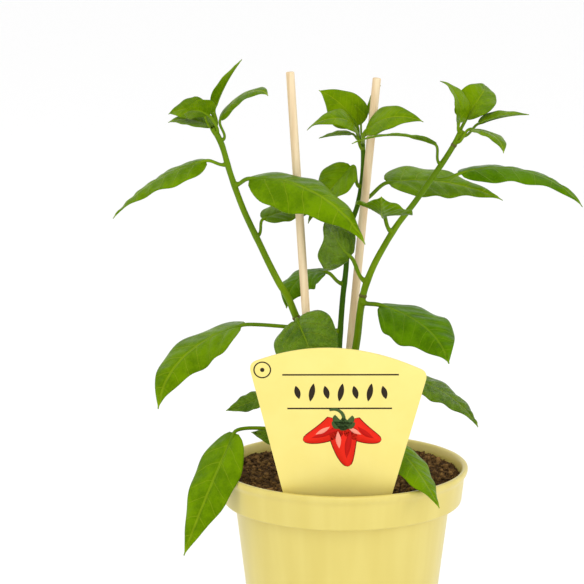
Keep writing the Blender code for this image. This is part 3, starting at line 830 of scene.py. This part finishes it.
def ink(name, colour):
    """A thin dull print colour."""
    return shader_of(name, colour, 0.5, 0.04)[0]


INK_DARK = ink("dark ink", (0.03, 0.022, 0.015))
INK_RED = ink("red ink", (0.72, 0.022, 0.010))
INK_DEEP_RED = ink("deep red ink", (0.13, 0.006, 0.005))
INK_MID_RED = ink("shaded red ink", (0.48, 0.010, 0.007))
INK_PINK = ink("pale red ink", (0.86, 0.28, 0.20))
INK_GREEN = ink("green ink", (0.055, 0.10, 0.03))


def print_strip(name, made, lift, pieces):
    """Flat printed shapes. Each is a strip along a middle line: (spine, half_width, rows)."""
    shape = bmesh.new()
    for spine, half_width, rows in pieces:

        def place(across, along):
            here = Vector(spine(along))
            ahead = Vector(spine(min(along + 0.01, 1.0))) - Vector(spine(max(along - 0.01, 0.0)))
            side = Vector((-ahead.y, ahead.x)).normalized()
            spot = here + side * half_width(along) * (2 * across - 1)
            return label_place(spot.x, spot.y, lift)

        add_grid(shape, 2, rows, place, weld=False)
    finished(name, shape, [made], None, "label", sharp=80, thickness=0.02)


def straight(start, end):
    """The middle line of a straight strip."""
    return lambda along: Vector(start) * (1 - along) + Vector(end) * along


def arc(centre, radius, start, sweep):
    """The middle line of a strip bent round a centre, from the angle start through sweep degrees."""

    def spine(along):
        angle = math.radians(start + sweep * along)
        return Vector(centre) + Vector((math.cos(angle), math.sin(angle))) * radius

    return spine


def disc_half(along):
    """The half-width of a disc of radius 1 along its middle line."""
    return math.sqrt(max(1 - (2 * along - 1) ** 2, 0.0))


def seed_half(along):
    """The half-width of a leaf shape in the printed row."""
    return 1.35 * math.sin(math.pi * along) ** 0.8


def print_label():
    """Two rules, a ring with a dot, a row of leaf shapes and a bunch of three pods."""
    upper = [(straight(*UPPER_RULE), lambda along: RULE_HALF, 4)]
    lower = [(straight(*LOWER_RULE), lambda along: RULE_HALF, 4)]
    ring = [(arc(RING_CENTRE, RING_RADIUS, 0, 360), lambda along: RING_HALF, 40)]
    dot = [(straight(*DOT), disc_half, 12)]
    print_strip("label_rules", INK_DARK, 0.03, upper + lower + ring + dot)
    leaves = []
    for index in range(ROW_COUNT):
        middle = ROW_LEFT + index * ROW_STEP
        tall = 4.4 if index % 2 else 3.2
        turn = 0.8 if index % 2 else -0.8
        start = (middle - turn, ROW_UP - tall)
        end = (middle + turn, ROW_UP + tall)
        leaves.append((straight(start, end), seed_half, 14))
    print_strip("label_leaf_row", INK_DARK, 0.03, leaves)
    shade, flesh, glint, deep, cap, stalk = [], [], [], [], [], []
    top = Vector(PODS_TOP)
    for lean, length, wide, curl in PODS:

        def spine(along, lean=lean, length=length, curl=curl):
            angle = math.radians(-90 + lean + curl * along)
            return top + Vector((math.cos(angle), math.sin(angle))) * (3.0 + length * along)

        def body(along, wide=wide):
            return wide * min(1, along / 0.16 + 0.25) ** 0.5 * max(1 - along, 0.0) ** 0.5 + 0.01

        def glint_spine(along, spine=spine, wide=wide):
            return spine(0.14 + 0.42 * along) + Vector((-0.34 * wide, 0.2))

        def deep_spine(along, spine=spine, wide=wide):
            return spine(0.1 + 0.7 * along) + Vector((0.5 * wide * (1 - along), 0.0))

        def cap_spine(along, spine=spine):
            return spine(-0.1 + 0.17 * along)

        def stalk_spine(along, spine=spine):
            return top * (1 - along) + spine(-0.05) * along + Vector((0, 0.6)) * (1 - along)

        shade.append((spine, lambda along, body=body: body(along) + 0.38, 34))
        flesh.append((spine, body, 34))
        glint.append((glint_spine, lambda along, wide=wide: 0.17 * wide * math.sin(math.pi * along), 14))
        deep.append((deep_spine, lambda along, wide=wide: 0.2 * wide * math.sin(math.pi * along), 14))
        cap.append((cap_spine, lambda along, wide=wide: 0.75 * wide - 1.6 * along**3, 8))
        stalk.append((stalk_spine, lambda along: 0.8, 5))
    hook = [(arc((-2.0, 41.5), 4.6, -5, 120), lambda along: 0.85 - 0.3 * along, 16)]
    print_strip("label_pods_edge", INK_DEEP_RED, 0.03, shade)
    print_strip("label_pods", INK_RED, 0.06, flesh)
    print_strip("label_pod_shade", INK_MID_RED, 0.085, deep)
    print_strip("label_pod_shine", INK_PINK, 0.09, glint)
    print_strip("label_pod_caps", INK_GREEN, 0.12, cap + stalk + hook)


# ---------------------------------------------------------------- plant

def through(points, share):
    """A smooth curve through the points: the place and the direction at a share of its length."""
    spans = len(points) - 1
    span = min(int(share * spans), spans - 1)
    along = share * spans - span
    near = [Vector(points[min(max(span + step, 0), spans)]) for step in (-1, 0, 1, 2)]
    before, start, end, after = near
    leaving = (end - before) / 2
    reaching = (after - start) / 2
    bend = 3 * (end - start) - 2 * leaving - reaching
    twist = 2 * (start - end) + leaving + reaching
    place = start + leaving * along + bend * along**2 + twist * along**3
    heading = leaving + 2 * bend * along + 3 * twist * along**2
    return place, heading.normalized()


def stem_at(name, height):
    """Where a stem's middle line passes a height, its direction there and its radius."""
    stem = STEMS[name]
    low, high = 0.0, 1.0
    for _ in range(30):
        share = (low + high) / 2
        place, heading = through(stem.points, share)
        if place.z < height:
            low = share
        else:
            high = share
    radius = stem.foot_radius + (stem.top_radius - stem.foot_radius) * share
    return place, heading, radius


def outline(share):
    """Half-width of a pointed oval blade, as a share of its greatest, at a share of its length."""
    widest = BLADE_RISE_POWER / (BLADE_RISE_POWER + BLADE_TAPER_POWER)
    rising = (share / widest) ** BLADE_RISE_POWER
    return rising * ((1 - share) / (1 - widest)) ** BLADE_TAPER_POWER


def blade_frame(leaf, share):
    """Direction along the blade, across it and up from it at a share of its length."""
    heading = leaf.base[0] + (leaf.tip[0] - leaf.base[0]) * share
    rise = leaf.base[1] + (leaf.tip[1] - leaf.base[1]) * share
    turn = math.radians(leaf.turn[0] + (leaf.turn[1] - leaf.turn[0]) * share)
    along = direction(heading, rise)
    level = direction(heading + 90, 0)
    up = along.cross(level)
    across = level * math.cos(turn) - up * math.sin(turn)
    return along, across, up * math.cos(turn) + level * math.sin(turn)


def stalk_points(leaf):
    """A root inside the stem, then the four handles of the curve from the stem to the blade."""
    axis, stem_heading, radius = stem_at(leaf.stem, leaf.height)
    length, heading, rise = leaf.stalk
    aim = direction(heading, rise)
    out = (aim - stem_heading * aim.dot(stem_heading)).normalized()
    start = axis + out * (radius + 2 * GAP)
    end = axis + aim * length
    along, _, _ = blade_frame(leaf, 0)
    reach = (end - start).length / 3
    first = start + (out + aim).normalized() * reach
    second = end - along * min(reach, STALK_BEND)
    return axis + out * radius * 0.5, start, first, second, end


def bezier(start, first, second, end, share):
    """A place on the curve with four handles."""
    rest = 1 - share
    return start * rest**3 + first * 3 * rest**2 * share + second * 3 * rest * share**2 + end * share**3


def blade_spine(leaf, end):
    """Places along the blade's midrib, from its base."""
    spots = [end]
    for step in range(SPINE_STEPS):
        along, _, _ = blade_frame(leaf, step / SPINE_STEPS)
        spots.append(spots[-1] + along * leaf.size[0] / SPINE_STEPS)
    return spots


def vein_phase(across, along):
    """Counts the side veins passed on the way along the blade; whole numbers lie on a vein."""
    return (along - (VEIN_SLOPE + VEIN_CURVE * across) * across) * VEIN_PAIRS


def make_leaf(name, chance):
    """One blade with puckers between its veins and a waved edge, and its stalk and rib as a second piece."""
    leaf = LEAVES[name]
    length, width = leaf.size
    inside, start, first, second, end = stalk_points(leaf)
    spots = blade_spine(leaf, end)
    fold = math.tan(math.radians(leaf.fold))
    young = "_tip_" in name
    kind = LEAF_MATURE
    if young:
        kind = LEAF_YOUNG
    elif name in DARK:
        kind = LEAF_PAINTED_SHADE
    elif name in DEEP:
        kind = LEAF_DEEP
    quilt = YOUNG_QUILT if young else (DARK_QUILT if name in DARK else QUILT) * min(width / BROAD_BLADE, 1)
    ripple = (YOUNG_RIPPLE if young else RIPPLE) * width
    droop = YOUNG_DROOP if young else DROOP
    shift = chance.uniform(0, 1)

    def spine_at(share):
        spot = share * SPINE_STEPS
        low = min(int(spot), SPINE_STEPS - 1)
        return spots[low].lerp(spots[low + 1], spot - low)

    def half_at(share):
        return max(width / 2 * outline(min(share + 0.012, 0.995)), BLADE_BASE_HALF)

    def blade_place(across, along):
        side = 2 * across - 1
        reach = abs(side)
        _, out, up = blade_frame(leaf, along)
        half = half_at(along)
        rise = reach * half * fold - droop * half * reach**2
        rise -= 0.3 * math.exp(-((side * half / 0.9) ** 2)) * min(width / 14, 1)
        phase = vein_phase(reach * half / length, along)
        rise += quilt * math.sin(math.pi * phase) ** 2 * math.sin(math.pi * min(reach * 1.05, 1)) ** 0.7
        edge = math.sin(math.tau * (along * 3.2 + shift + 0.4 * (side > 0)))
        rise += ripple * reach**3 * edge * math.sin(math.pi * along)
        return spine_at(along) + out * side * half + up * rise

    def blade_flat(across, along):
        return ((2 * across - 1) * half_at(along) / length, along)

    shape = bmesh.new()
    add_grid(shape, BLADE_COLUMNS, BLADE_ROWS, blade_place, blade_flat)
    thin = 0.4 + width * 0.02
    finished(name, shape, [kind], name, "leaf", sharp=80, thickness=BLADE_THICKNESS)

    def rib_spot(share):
        if share < ROOT_SHARE:
            return inside.lerp(start, share / ROOT_SHARE)
        if share < STALK_SHARE:
            return bezier(start, first, second, end, (share - ROOT_SHARE) / (STALK_SHARE - ROOT_SHARE))
        onward = (share - STALK_SHARE) / (1 - STALK_SHARE) * RIB_END
        _, _, up = blade_frame(leaf, onward)
        return spine_at(onward) - up * (0.25 + 0.25 * thin) * smooth(0, 0.1, onward)

    def rib_spine(along):
        heading = rib_spot(min(along + 0.01, 1)) - rib_spot(max(along - 0.01, 0))
        return rib_spot(along), heading.normalized()

    def rib_radius(along, angle):
        if along < STALK_SHARE:
            flare = 0.7 * math.exp(-((along / ROOT_SHARE) ** 2))
            return thin * (1 + flare)
        onward = (along - STALK_SHARE) / (1 - STALK_SHARE)
        return max(thin * (1 - onward) ** 0.8 * (1 - 0.3 * smooth(0, 0.2, onward)), 0.06)

    shape = bmesh.new()
    add_tube(shape, 12, 50, rib_spine, rib_radius)
    finished(name + "_stalk", shape, [STEM_GREEN], None, "leaf", sharp=80)


def make_stems():
    """The trunk and three stems, thicker where a stalk leaves them, with brown rings at old nodes."""
    for name, stem in STEMS.items():
        joints = [leaf.height for leaf in LEAVES.values() if leaf.stem == name]
        shape = bmesh.new()

        def spine(along):
            return through(stem.points, min(max((along - STEM_END) / (1 - 2 * STEM_END), 0), 1))

        def radius(along, angle):
            centre, _ = spine(along)
            size = stem.foot_radius + (stem.top_radius - stem.foot_radius) * along
            for height in joints:
                near = math.exp(-((centre.z - height) / JOINT_LENGTH) ** 2)
                size *= 1 + JOINT_SWELLING * near / max(len(joints) / 4, 1)
            size *= 1 + 0.035 * math.cos(5 * angle + centre.z * 0.02)
            ends = min(along, 1 - along) / STEM_END
            return size * math.sqrt(max(1 - (1 - min(ends, 1)) ** 2, 0)) + 0.001

        rows = 30 if name == "trunk" else 120
        add_tube(shape, 20, rows, spine, radius)
        green = STEM_DEEP if name == "middle_stem" else STEM_GREEN
        finished(name, shape, [green], name, "stem", sharp=80)
        for number, height in enumerate(NODES.get(name, ())):
            middle, ahead, size = stem_at(name, height)
            ring = bmesh.new()

            def ring_spine(along):
                return middle + ahead * NODE_LENGTH * (along - 0.5), ahead

            def ring_radius(along, angle):
                return size * (0.98 + 0.2 * math.sin(math.pi * along) + 0.03 * math.sin(3 * angle))

            add_tube(ring, 20, 8, ring_spine, ring_radius)
            finished(f"{name}_node_{number}", ring, [NODE_BROWN], None, "stem", sharp=80)


# ---------------------------------------------------------------- setting

def make_stage():
    """A plain white floor."""
    white, _ = shader_of("white floor", (0.98, 0.98, 0.98), 0.9, 0.5)
    shape = bmesh.new()
    bmesh.ops.create_circle(shape, cap_ends=True, segments=96, radius=FLOOR_RADIUS)
    floor = finished("floor", shape, [white])


def area_light(name, place, size, power):
    """A soft round lamp aimed at the plant."""
    lamp = bpy.data.lights.new(name, "AREA")
    lamp.shape = "DISK"
    lamp.size = size
    lamp.energy = power
    thing = bpy.data.objects.new(name, lamp)
    thing.location = place
    aim = Vector(LIGHT_TARGET) - Vector(place)
    thing.rotation_euler = aim.to_track_quat("-Z", "Y").to_euler()
    bpy.context.scene.collection.objects.link(thing)


def make_lights():
    """Even white light from all round, with three soft lamps."""
    world = bpy.data.worlds.new("white room")
    bpy.context.scene.world = world
    world.use_nodes = True
    world.node_tree.nodes["Background"].inputs["Color"].default_value = (1, 1, 1, 1)
    world.node_tree.nodes["Background"].inputs["Strength"].default_value = 1.0
    for name, place, width, power in LAMPS:
        area_light(name, place, width, power)


def make_camera():
    """A long lens a little above the plant, looking down at it."""
    lens = bpy.data.cameras.new("camera")
    lens.lens = CAMERA_LENS
    lens.sensor_width = CAMERA_SENSOR
    camera = bpy.data.objects.new("camera", lens)
    camera.location = CAMERA_PLACE
    camera.rotation_euler = (math.radians(CAMERA_TILT), 0, 0)
    bpy.context.scene.collection.objects.link(camera)
    bpy.context.scene.camera = camera
    bpy.context.scene.view_settings.view_transform = "Standard"


def build():
    """Makes every piece, then the floor, the lights and the camera."""
    make_pot()
    make_soil()
    make_crumbs()
    make_fibres()
    make_stakes()
    make_label()
    print_label()
    make_stems()
    chance = random.Random(11)
    for name in LEAVES:
        make_leaf(name, chance)
    make_stage()
    make_lights()
    make_camera()


build()
